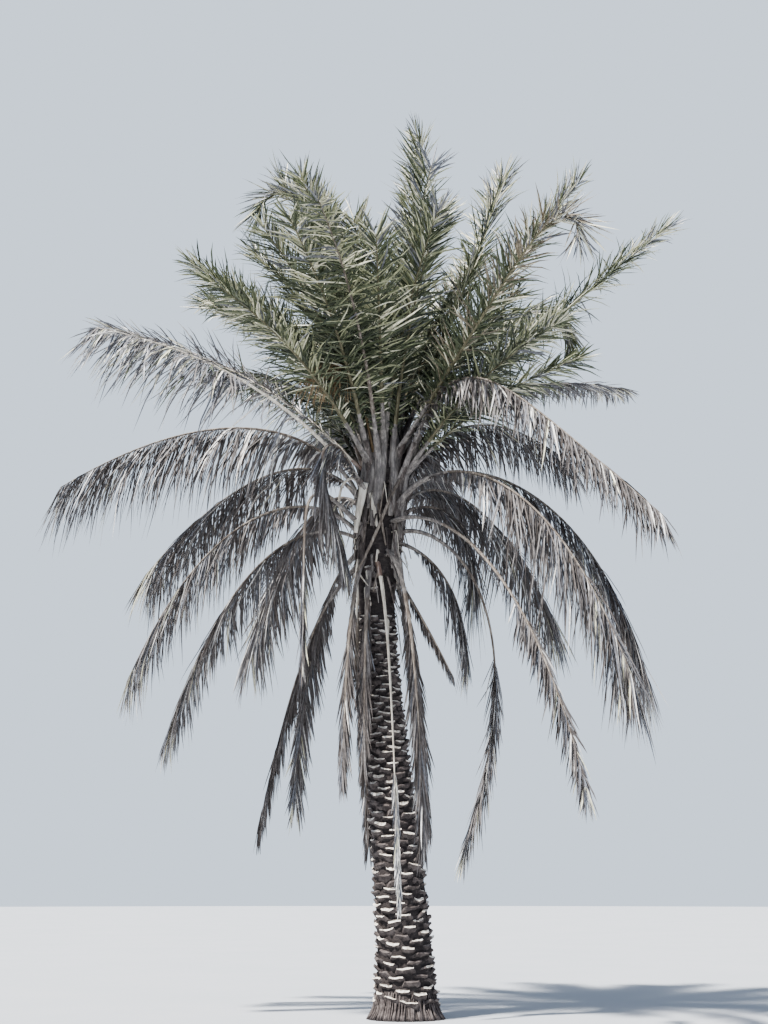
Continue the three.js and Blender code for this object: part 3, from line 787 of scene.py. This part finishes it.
def leaflet_tree():
    t = Tree("leaflets_along_a_rib")
    pattern, count, side = t.takes("Object", "Pattern"), t.takes("Int", "Count"), t.takes("Vector", "Side")
    length, width, shrink, bare, missing = t.takes("Float", "Length", "Width", "Shrink", "Bare", "Missing")
    lean_base, lean_tip, lift, ruffle = t.takes("Float", "Lean Base", "Lean Tip", "Lift", "Ruffle")
    hang, sag, curl, roll, tip_dry = t.takes("Float", "Hang", "Sag", "Curl", "Roll", "Tip Dry")
    shares = t.takes("Float", *["Share " + letter for letter in "BCDE"])
    paints = t.takes("Material", *["Paint " + letter for letter in "ABCDE"])

    # a pair at each step, which knows its share of the way, its direction and its side
    curve = t.get("GeometryNodeMeshToCurve", {"Mesh": t.base})
    dots = t.add("GeometryNodeCurveToPoints", {"Curve": curve, "Count": count}, mode="COUNT")
    share = t.math("DIVIDE", t.get("GeometryNodeInputIndex"), t.math("SUBTRACT", count, 1.0))
    points = t.note(dots.outputs["Points"], "share", share)
    points = t.note(points, "forward", dots.outputs["Tangent"], VECTOR)
    pairs = t.add("GeometryNodeDuplicateElements", {"Geometry": points, "Amount": 2}, domain="POINT")
    hand = t.math("SUBTRACT", 1.0, t.times(pairs.outputs["Duplicate Index"], 2.0))
    points = t.note(pairs.outputs["Geometry"], "hand", hand)
    u, ahead, hand = t.read("share"), t.read("forward", VECTOR), t.read("hand")

    # some have dropped off
    early = t.times(t.math("LESS_THAN", u, bare), LOST_WHERE_BARE)
    gone = t.more(t.plus(missing, early), t.random(0.0, 1.0))
    points = t.get("GeometryNodeDeleteGeometry", {"Geometry": points, "Selection": gone}, domain="POINT")

    # each leans forward and out, up or down, and rolls a little about its own length
    upper = t.vector("CROSS_PRODUCT", ahead, side)
    later = t.times(t.math("SUBTRACT", lean_tip, lean_base), t.math("POWER", u, LEAN_POWER))
    lean = t.times(t.plus(lean_base, later), t.random(0.7, 1.3))
    raised = t.plus(lift, t.times(ruffle, t.random(-1.0, 1.0)))
    reach = t.math("SINE", lean)
    aim = t.sum(
        t.scaled(ahead, t.math("COSINE", lean)),
        t.scaled(side, t.times(hand, reach, t.math("COSINE", raised))),
        t.scaled(upper, t.times(reach, t.math("SINE", raised))),
        t.scaled(DOWN, t.times(hang, t.random(0.55, 1.35))),
    )
    aim = t.vector("NORMALIZE", aim)
    face = t.sum(upper, t.scaled(side, t.times(roll, t.random(-1.0, 1.0))))

    # short at the frond's base, longest in its middle, and worn down towards the tip
    profile = t.add("ShaderNodeFloatCurve", {"Value": u})
    shape = profile.mapping.curves[0]
    shape.points[0].location = LEAFLET_PROFILE[0]
    shape.points[1].location = LEAFLET_PROFILE[-1]
    for place in LEAFLET_PROFILE[1:-1]:
        shape.points.new(*place)
    profile.mapping.update()
    fade = t.math("DIVIDE", t.math("MAXIMUM", t.math("SUBTRACT", u, FADE_FROM), 0.0), 1.0 - FADE_FROM)
    kept = t.math("SUBTRACT", 1.0, t.times(shrink, fade))
    long = t.times(length, profile.outputs["Value"], t.random(0.84, 1.12), kept)
    wide = t.times(width, t.random(0.75, 1.2))
    blades = t.planted(points, pattern, aim, face, (wide, long, wide))

    # a tone for each, half of it shared by its neighbours, and drier towards the tip
    group = t.math("FLOOR", t.times(u, t.times(count, GROUPS_PER_STEP)))
    shared = t.random(0.0, 1.0, key=t.plus(group, hand))
    own = t.random(0.0, 1.0)
    tone = t.plus(t.times(shared, 0.5), t.times(own, 0.5), t.times(tip_dry, t.math("POWER", u, 2.0)))
    weight = t.times(sag, t.random(0.4, 1.6))
    way = t.random((-1.0, -1.0, -1.0), (1.0, 1.0, 1.0), kind=VECTOR)
    place = t.get("GeometryNodeInputPosition")
    blades = t.note(blades, "root", place, VECTOR, "INSTANCE")
    blades = t.note(blades, "tone", tone, FLOAT, "INSTANCE")
    blades = t.note(blades, "weight", weight, FLOAT, "INSTANCE")
    blades = t.note(blades, "way", t.scaled(way, curl), VECTOR, "INSTANCE")
    blades = t.realized(blades)

    # a bend that grows with the square of the way from its root, then its colour
    ends = {0: place, 1: t.read("root", VECTOR)}
    away = t.get("ShaderNodeVectorMath", ends, "Value", operation="DISTANCE")
    bend = t.sum(t.scaled(DOWN, t.read("weight")), t.read("way", VECTOR))
    blades = t.shifted(blades, t.scaled(bend, t.times(away, away)))
    blades = t.paint(blades, paints[0])
    for limit, colour in zip(shares, paints[1:]):
        blades = t.paint(blades, colour, t.more(t.read("tone"), limit))
    return t.finish(blades)


leaflets_along = leaflet_tree()

# %% How leaflets change with a frond's age
LEAFLET = 0.6
LEAFLET_STEP = 0.0155
LEAFLETS_FROM, LEAFLETS_TO = 0.14, 0.997
LINE_POINTS = 60
LENGTH_AGES = [0, 0.36, 0.48, 0.62, 0.8, 1]
LEAN_AGES = [0, 0.1, 0.72, 0.86, 1]
HANG_AGES = [0, 0.3, 0.48, 1]
CURL_AGES = [0, 0.2, 0.34, 0.5, 1]
# ages, and the value at each of them: the angles are in degrees, the width in metres
BY_AGE = {
    "length": (LENGTH_AGES, [1, 1, 1.25, 1.2, 0.9, 0.8]),
    "shrink": (LENGTH_AGES, [0.12, 0.3, 0.1, 0.1, 0.15, 0.2]),
    "width": ([0.3, 0.5], [0.0225, 0.0235]),
    "lean_base": (LEAN_AGES, [58, 52, 60, 30, 26]),
    "lean_tip": (LEAN_AGES, [46, 34, 34, 18, 16]),
    "lift": ([0, 0.35, 0.5, 1], [28, 18, -4, -16]),
    "ruffle": ([0, 0.2, 0.4, 1], [34, 50, 46, 32]),
    "hang": (HANG_AGES, [0, 0.1, 1, 1.6]),
    "sag": (HANG_AGES, [0.08, 0.3, 0.75, 0.3]),
    "curl": (CURL_AGES, [0.3, 0.5, 0.5, 0.22, 0.15]),
    "roll": (CURL_AGES, [1, 1.3, 1.1, 0.7, 0.6]),
    "missing": ([0, 0.4, 1], [0, 0.04, 0.22]),
    "tip_dry": ([0, 0.3, 0.5, 0.65, 0.8, 1], [0.46, 0.36, 0.1, 0.2, 0.2, 0.1]),
}
CLUMP_TIP_DRY = 0.2

# %% Fronds with leaflets of their own kind
BARE = {
    "front_hang": 0.58, "right_fall_long": 0.44, "right_fall": 0.4, "left_broken": 0.56,
    "left_arch_low": 0.45,
}
SHORT = {
    "front_hang": 0.6, "right_stub": 0.5, "right_level": 0.6, "right_arch_high": 0.72,
    "right_arch_back": 0.75, "left_curl": 0.75, "left_broken": 0.6, "right_fall_long": 0.55,
    "right_fall": 0.75,
}
CLOSED = {"left_curl": 0.45, "left_broken": 0.4}

# %% Which colours a frond's leaflets take
# five finishes, and the tone from which each of the last four takes over
TONES = {
    # on green fronds the olive and straw tones are painted highlights for sunlit leaflets
    "green": ("deep", "green", "olive", "straw", "dusty", (0.42, 0.68, 0.80, 0.93)),
    "rusty": ("deep", "green", "rust", "straw", "dusty", (0.34, 0.60, 0.78, 0.92)),
    "drying": ("green", "grey", "dusty", "bleached", "straw", (0.22, 0.56, 0.80, 0.95)),
    "dry": ("brown", "grey", "dusty", "bleached", "straw", (0.42, 0.70, 0.84, 0.96)),
    # the oldest, hanging fronds: mostly brown, darker in part as painted shade of the crown above them
    "old": ("brown", "brown", "grey", "dusty", "bleached", (0.34, 0.64, 0.86, 0.95)),
    "pale": ("brown", "dusty", "bleached", "straw", "bleached", (0.22, 0.44, 0.66, 0.80)),
}
TONES_FROM = [(0.84, "old"), (0.47, "dry"), (0.42, "drying"), (0.0, "green")]
TONES_OWN = {
    "right_level": "drying", "left_arch_high": "drying", "right_hook": "rusty", "right_back_3": "rusty",
    "front_hang": "pale",
}


def tones_of(frond):
    return TONES[TONES_OWN.get(frond.name) or next(name for start, name in TONES_FROM if frond.age >= start)]


# %% Ribs, leaflets and straps of every frond
def leaflet_piece(frond, seed):
    shares = np.linspace(LEAFLETS_FROM, LEAFLETS_TO, LINE_POINTS)
    edges = [(i, i + 1) for i in range(LINE_POINTS - 1)]
    line = bpy.data.meshes.new("line")
    line.from_pydata([tuple(frond.at(s)[0]) for s in shares], edges, [])
    values = {name: along(frond.age, *rule) for name, rule in BY_AGE.items()}
    values["length"] = LEAFLET * values["length"] * SHORT.get(frond.name, 1)
    for name in ("lean_base", "lean_tip"):
        values[name] *= CLOSED.get(frond.name, 1)
    for name in ("lean_base", "lean_tip", "lift", "ruffle"):
        values[name] = math.radians(values[name])
    if frond.clump:
        values["tip_dry"] = CLUMP_TIP_DRY
    *paints, limits = tones_of(frond)
    values.update({"paint_" + letter: LEAFLETS[name] for letter, name in zip("abcde", paints)})
    values.update({"share_" + letter: limit for letter, limit in zip("bcde", limits)})
    return grown(
        "leaflets_" + frond.name, linked("line", line), leaflets_along, pattern=leaflet, seed=seed,
        count=int(frond.length * (1 - LEAFLETS_FROM) / LEAFLET_STEP), bare=BARE.get(frond.name, 0),
        side=tuple(float(x) for x in frond.side), **values,
    )


def nodes_of(frond):
    if frond.clump:
        return ["fronds_" + frond.clump]
    name = "frond_" + frond.name
    return [name + "_inner", name + "_outer"] if frond.split else [name]


blade_faces = 0
clasped = set()
for number, frond in enumerate(crown):
    pieces = [rib_piece(frond), leaflet_piece(frond, number + 1)]
    if frond.age < STRAP_AGE and frond.clump not in clasped:
        pieces.append(strap_piece(frond, number))
    if frond.clump:
        clasped.add(frond.clump)
    for piece in pieces:
        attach(piece, "root")
        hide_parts(*nodes_of(frond))
        blade_faces += len(piece.data.polygons)
bpy.data.objects.remove(leaflet)
print("frond faces:", blade_faces)

# %% [markdown]
# The trunk keeps the stub of every frond it ever carried. The stubs sit on a spiral with the
# golden angle between neighbours, which packs them into the crossing rows that show on a palm.
# The trunk under them is a dark felt of old fibres. It is a loft with some noise in its rings,
# and one tree sets a cut stub on every point of the spiral.


# %% Trunk finishes
def trunk_finishes():
    core = Finish("trunk_fibre", roughness=0.95, specular=0.15)
    felt = [(0.3, (0.026, 0.022, 0.023)), (0.55, (0.07, 0.06, 0.057)), (0.76, (0.16, 0.138, 0.128))]
    core.colours(7.0, felt, detail=8.0, roughness=0.75, stretch=(1, 1, 2.6))
    core.relief(45.0, 0.9, 0.02, detail=5.0, stretch=(1, 1, 3))
    stub = Finish("stub_side", roughness=0.9, specular=0.2)
    husk = [(0.3, (0.042, 0.035, 0.034)), (0.5, (0.105, 0.089, 0.084)), (0.74, (0.235, 0.205, 0.19))]
    stub.colours(14.0, husk, detail=7.0, roughness=0.7)
    stub.relief(70.0, 0.6, 0.008)
    cut = Finish("stub_cut", roughness=0.85, specular=0.2)
    pith = [(0.28, (0.23, 0.188, 0.15)), (0.46, (0.56, 0.51, 0.44)), (0.64, (0.84, 0.81, 0.75))]
    cut.colours(30.0, pith, detail=5.0, roughness=0.65)
    cut.relief(110.0, 0.5, 0.006, detail=3.0)
    return core.material, stub.material, cut.material


FIBRE, STUB_SIDE, STUB_CUT = trunk_finishes()


# %% Trunk core
CORE_COLUMNS = 56
CORE_LEVELS = [0, 0.05, 0.12, 0.2, 0.3, *np.arange(0.4, TRUNK_TOP + 0.01, 0.07)]
CORE_SUNK = 0.012
# heights, and how far the old fibre stands out there at most
FELT_HEIGHTS, FELT = [1.5, 3.0], [0.018, 0.010]


def trunk_core():
    chance = np.random.default_rng(11)
    rings = []
    for z in CORE_LEVELS:
        rough = along(z, FELT_HEIGHTS, FELT) if z > 0 else 0
        radii = trunk_radius(z) - CORE_SUNK + rough * chance.uniform(-1, 1, CORE_COLUMNS)
        rings.append([trunk_middle(z) + r * out for r, out in zip(radii, around(CORE_COLUMNS))])
    return object_from("trunk_core", *loft(rings), FIBRE)


core = trunk_core()


# %% The pattern stub
# how far out, half width, half thickness, how far the edges curl up
STUB_RINGS = [(-0.075, 0.112, 0.034, 0.008), (-0.01, 0.1, 0.026, 0.01), (0.036, 0.084, 0.016, 0.008)]
STUB_THIN = 0.4
# the cut: its width and height as shares of the rim, how far in and up it lies
CUT_WIDE, CUT_HIGH, CUT_IN, CUT_UP = 0.86, 0.8, 0.004, 0.002


def pattern_stub():
    """A cut leaf base: +Y is outward, +X across, +Z up. Its outer end is the pale cut."""
    across_it = np.linspace(-1, 1, 7)
    rings = []
    for y, half, thick, curl in STUB_RINGS:
        top = [(x * half, y, curl * x * x + thick * (1 - STUB_THIN * x * x)) for x in across_it]
        low = [(x * half, y, curl * x * x - thick * (1 - STUB_THIN * x * x)) for x in across_it[::-1]]
        rings.append(top + low)
    rings.append([(x * CUT_WIDE, y - CUT_IN, z * CUT_HIGH + CUT_UP) for x, y, z in rings[-1]])
    points, faces = loft([[np.array(p) for p in ring][::-1] for ring in rings])
    made = object_from("pattern_stub", points, faces, smooth=False)
    count = len(rings[0])
    # the sides come first, then the last ring of the cut, the hidden end and the cut's middle
    is_cut = [0.0] * (2 * count) + [1.0] * count + [0.0, 1.0]
    made.data.attributes.new("cut", "FLOAT", "FACE").data.foreach_set("value", is_cut)
    return made


stub = pattern_stub()


# %% The stub tree
ASKEW = 0.14
UP = (0.0, 0.0, 1.0)


def stub_tree():
    t = Tree("cut_stubs_on_a_trunk")
    pattern = t.takes("Object", "Pattern")
    tilt, rough = t.takes("Float", "Tilt", "Rough")
    side_paint, cut_paint = t.takes("Material", "Side Paint", "Cut Paint")
    out, grow = t.read("out", VECTOR), t.read("grow")
    sideways = t.vector("CROSS_PRODUCT", out, UP)
    raised = t.scaled(UP, t.times(tilt, t.random(0.5, 1.5)))
    aim = t.sum(out, raised, t.scaled(sideways, t.random(-ASKEW, ASKEW)))
    face = t.sum(UP, t.scaled(sideways, t.random(-ASKEW, ASKEW)))
    wide = t.times(grow, t.random(0.8, 1.12))
    deep = t.times(grow, t.random(0.6, 1.35))
    thick = t.random(0.7, 1.25)
    stubs = t.realized(t.planted(t.base, pattern, aim, face, (wide, deep, thick)))
    wave = t.get("ShaderNodeTexNoise", {"Scale": 9.0, "Detail": 2.0}, "Color")
    shake = t.scaled(t.vector("SUBTRACT", wave, (0.5, 0.5, 0.5)), t.times(rough, 4.0))
    stubs = t.paint(t.shifted(stubs, shake), side_paint)
    stubs = t.paint(stubs, cut_paint, t.more(t.times(t.read("cut"), t.read("bright")), 0.5))
    return t.finish(stubs)


# %% Set the stubs on their spiral
GOLDEN_ANGLE = 137.508
STUB_HEIGHTS = [0, 2.0, 3.2, 4.2, 4.9]
STUB_AREA = [0.026, 0.021, 0.0155, 0.0115, 0.0095]
STUB_GROW = [1.15, 1.0, 0.86, 0.74, 0.64]
STUB_FROM, STUB_TO = 0.16, 6.7
BARE_FROM = 4.85
LEFT_ABOVE = 0.1
BRIGHT = 0.72


def stub_points():
    """Regular rows up to the dark neck. Above them one in ten is left."""
    chance = np.random.default_rng(23)
    places, outs, sizes, bright = [], [], [], []
    z, k = STUB_FROM, 0
    while z < STUB_TO:
        r = trunk_radius(z)
        out, _ = compass(math.radians(GOLDEN_ANGLE * k))
        if z < BARE_FROM or chance.random() < LEFT_ABOVE:
            places.append(tuple(trunk_middle(z) + out * (r - CORE_SUNK)))
            outs.append(out)
            sizes.append(along(z, STUB_HEIGHTS, STUB_GROW))
            bright.append(float(chance.random() < BRIGHT))
        z += along(z, STUB_HEIGHTS, STUB_AREA) / (2 * math.pi * r)
        k += 1
    mesh = bpy.data.meshes.new("stub_points")
    mesh.from_pydata(places, [], [])
    mesh.attributes.new("out", "FLOAT_VECTOR", "POINT").data.foreach_set("vector", np.ravel(outs))
    mesh.attributes.new("grow", "FLOAT", "POINT").data.foreach_set("value", sizes)
    mesh.attributes.new("bright", "FLOAT", "POINT").data.foreach_set("value", bright)
    print("stubs:", len(places))
    return linked("stub_points", mesh)


stubs = grown(
    "trunk_stubs", stub_points(), stub_tree(),
    pattern=stub, seed=5, tilt=0.75, rough=0.014, side_paint=STUB_SIDE, cut_paint=STUB_CUT,
)
bpy.data.objects.remove(stub)
for piece in (core, stubs):
    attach(piece, "root")
    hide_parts("trunk")
print("trunk faces:", len(core.data.polygons) + len(stubs.data.polygons))

# %% [markdown]
# A crown that isn't tidied keeps its rubbish: broken stubs, torn strips of old bases and the
# dry stalks of last year's dates, which hang from the crown in a loose rusty tangle.
# The large strips are swept along a few corners each, on the side of the neck where they hang.

# %% Torn strips on the neck
STRIP_HIGH = [0.02, 0.02, 0.01]
TO_THE_FRONT = (0.0, -1.0, 0.0)
# finish, widths along the way, the corners that it passes through
STRIPS = {
    # the bleached finish here is pale from bleaching, and lightened further as a painted highlight
    "broken_stub": ("bleached", [0.11, 0.1, 0.085, 0.05], [
        (-0.515, -0.27, 6.54), (-0.55, -0.28, 6.32), (-0.59, -0.27, 6.12), (-0.62, -0.25, 5.89)]),
    "curved_stalk": ("bleached", [0.04, 0.035, 0.03, 0.02], [
        (-0.55, -0.12, 6.52), (-0.66, -0.17, 6.62), (-0.78, -0.2, 6.54), (-0.83, -0.22, 6.36),
        (-0.82, -0.22, 6.2), (-0.78, -0.22, 6.1)]),
    "long_stalk": ("dry", [0.05, 0.045, 0.04, 0.04, 0.03], [
        (-0.03, -0.22, 6.64), (-0.11, -0.3, 6.48), (-0.18, -0.34, 6.33), (-0.36, -0.35, 5.88),
        (-0.5, -0.31, 5.58), (-0.6, -0.26, 5.37)]),
    "strip_left": ("bleached", [0.05, 0.06, 0.03], [
        (-0.43, -0.29, 6.4), (-0.39, -0.32, 6.19), (-0.35, -0.34, 5.95)]),
    "strip_right": ("dry", [0.03, 0.04, 0.02], [
        (-0.37, -0.3, 6.38), (-0.31, -0.33, 6.1), (-0.24, -0.3, 5.72)]),
    "hanging_strip": ("bleached", [0.03, 0.055, 0.045, 0.02], [
        (-0.59, -0.21, 5.56), (-0.61, -0.22, 5.28), (-0.6, -0.21, 5.03), (-0.61, -0.2, 4.8)]),
    "twig": ("bleached", [0.03, 0.02, 0.012], [
        (-0.6, -0.24, 5.41), (-0.54, -0.28, 5.31), (-0.46, -0.31, 5.2)]),
    "fibre_strip": ("dry", [0.03, 0.06, 0.03], [
        (-0.6, -0.2, 4.92), (-0.6, -0.17, 4.53), (-0.63, -0.16, 4.05)]),
    "stem_scrap": ("stem", [0.05, 0.045, 0.03], [
        (-0.13, -0.24, 5.75), (-0.06, -0.22, 5.54), (-0.02, -0.18, 5.27)]),
}

loose = []
for name, (kind, wides, corners) in STRIPS.items():
    way = smooth_path(corners, 6 * len(corners))
    loose.append(swept(name, way, wides, STRIP_HIGH, TO_THE_FRONT, RIBS[kind]))
print("strips:", len(loose))

# %% [markdown]
# The rest of the rubbish is hundreds of thin strands. Each is a light loft of its own, and all
# strands of one finish are joined into one piece, which is far cheaper than an object for each.

# %% Thin strands joined into one piece
STRAND_TAPER = 0.55
STRAND_SECTION = [(1, 0), (0, 1), (-1, 0), (0, -1)]


def strand(way, wide, thick, facing):
    """Rings of a flat strand that tapers along its way, from half its width and thickness."""
    rings = []
    for i, point in enumerate(way):
        side, upper = across(way, i, facing)
        taper = 1 - STRAND_TAPER * i / (len(way) - 1)
        rings.append([point + taper * (side * wide * x + upper * thick * y) for x, y in STRAND_SECTION])
    return rings


def bundle(name, strands, material):
    """One piece of many closed strands."""
    points, faces = [], []
    for rings in strands:
        more_points, more_faces = loft(rings)
        faces += [tuple(len(points) + k for k in face) for face in more_faces]
        points += more_points
    loose.append(object_from(name, points, faces, material))
    print(name + ":", len(strands))


# %% Scraps of dead bases on the neck
SCRAPS = 110
# bleached scraps are pale from bleaching, and lightened further as a painted highlight
SCRAP_KINDS = ["old_stem", "bleached", "dry", "old_stem", "stem"]
SCRAP_ELBOW = 0.3
# least and most: height, length, slant, elbow out, elbow up, tip out, half width, half thickness
SCRAP_LEAST = [4.75, 0.14, -0.3, 0.04, -0.1, -0.03, 0.007, 0.004]
SCRAP_MOST = [6.75, 0.46, 0.3, 0.09, 0.05, 0.12, 0.026, 0.008]


def neck_scraps():
    """Dead bases break up into narrow scraps, which hang down all round the neck."""
    chance = np.random.default_rng(31)
    made = {kind: [] for kind in SCRAP_KINDS}
    for k in range(SCRAPS):
        out, side = compass(math.radians(GOLDEN_ANGLE * k))
        z, long, slant, elbow_out, elbow_up, tip_out, wide, thick = chance.uniform(SCRAP_LEAST, SCRAP_MOST)
        root = trunk_middle(z) + out * (trunk_radius(z) - CORE_SUNK)
        aside = side * slant * long
        elbow = root + out * elbow_out + SCRAP_ELBOW * aside + np.array([0, 0, elbow_up])
        tip = elbow + out * tip_out + (1 - SCRAP_ELBOW) * aside + np.array([0, 0, -long])
        way = smooth_path([root, elbow, tip], 6)
        made[SCRAP_KINDS[k % len(SCRAP_KINDS)]].append(strand(way, wide, thick, tuple(out)))
    for kind, strands in made.items():
        bundle("neck_scraps_" + kind, strands, RIBS[kind])


neck_scraps()

# %% Spent date stalks
STALKS = 90
STALK_ARM = [
    (-0.4, -0.24, 6.95), (-0.5, -0.38, 7.4), (-0.64, -0.56, 7.8), (-0.8, -0.66, 7.98), (-0.98, -0.72, 7.96),
]
STALK_FACING = (0.0, -1.0, 0.1)
ARM_THICK, STALK_THICK = 0.02, 0.009
# where a stalk bends: the share of its drift, how far it rises, and the share of its drop
BEND_OUT, BEND_UP, BEND_DOWN = 0.6, 0.06, 0.3
# least and most: the place on the arm, the drift in x and y, the drop
STALK_LEAST = [-0.98, -0.74, 7.92, -0.5, -0.16, 0.25]
STALK_MOST = [-0.72, -0.62, 8.0, 0.12, 0.12, 0.6]
rust = Finish("spent_stalk", roughness=0.7, specular=0.3)
rust.colours(5.0, [(0.3, (0.13, 0.088, 0.05)), (0.52, (0.27, 0.195, 0.115)), (0.72, (0.52, 0.43, 0.3))])


def stalk_bunch():
    """One arm that reaches out of the crown, with thin stalks that hang from its end."""
    chance = np.random.default_rng(8)
    made = [strand(smooth_path(STALK_ARM, 16), ARM_THICK, ARM_THICK, STALK_FACING)]
    for _ in range(STALKS):
        x, y, z, drift_x, drift_y, drop = chance.uniform(STALK_LEAST, STALK_MOST)
        root, drift = np.array([x, y, z]), np.array([drift_x, drift_y, 0.0])
        middle = root + drift * BEND_OUT + np.array([0, 0, BEND_UP - BEND_DOWN * drop])
        end = root + drift + np.array([0, 0, -drop])
        made.append(strand(smooth_path([root, middle, end], 7), STALK_THICK, STALK_THICK, STALK_FACING))
    bundle("spent_stalks", made, rust.material)


stalk_bunch()

# %% [markdown]
# Short roots push out of the foot of an old palm, just above the ground. They hide the edge
# between the trunk and the floor, as they do on the real tree.

# %% Roots at the foot
ROOTS = 110
ROOT_SIDES = 5
ROOT_SUNK = 0.004
ROOT_THIN = 0.5
# least and most: the turn beside its place, the height of its top, the bend aside, its thickness
ROOT_LEAST = [-0.3, 0.12, -0.08, 0.010]
ROOT_MOST = [0.3, 0.34, 0.08, 0.019]


def foot_roots():
    """Thin roots that push out of the flared foot and run down to the ground."""
    chance = np.random.default_rng(4)
    made = []
    for k in range(ROOTS):
        aside, top, bent, thick = chance.uniform(ROOT_LEAST, ROOT_MOST)
        turn = 2 * math.pi * (k + aside) / ROOTS
        rings = []
        for u in np.linspace(0, 1, 5):
            z = top * (1 - u)
            out, side = compass(turn + bent * u)
            middle = trunk_middle(z) + out * (trunk_radius(z) - ROOT_SUNK)
            size = thick * (ROOT_THIN + (1 - ROOT_THIN) * u)
            rings.append([middle + size * (side * x + out * y) for x, y, _ in around(ROOT_SIDES)])
        made.append(rings)
    bundle("foot_roots", made, STUB_SIDE)


foot_roots()
for piece in loose:
    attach(piece, "root")
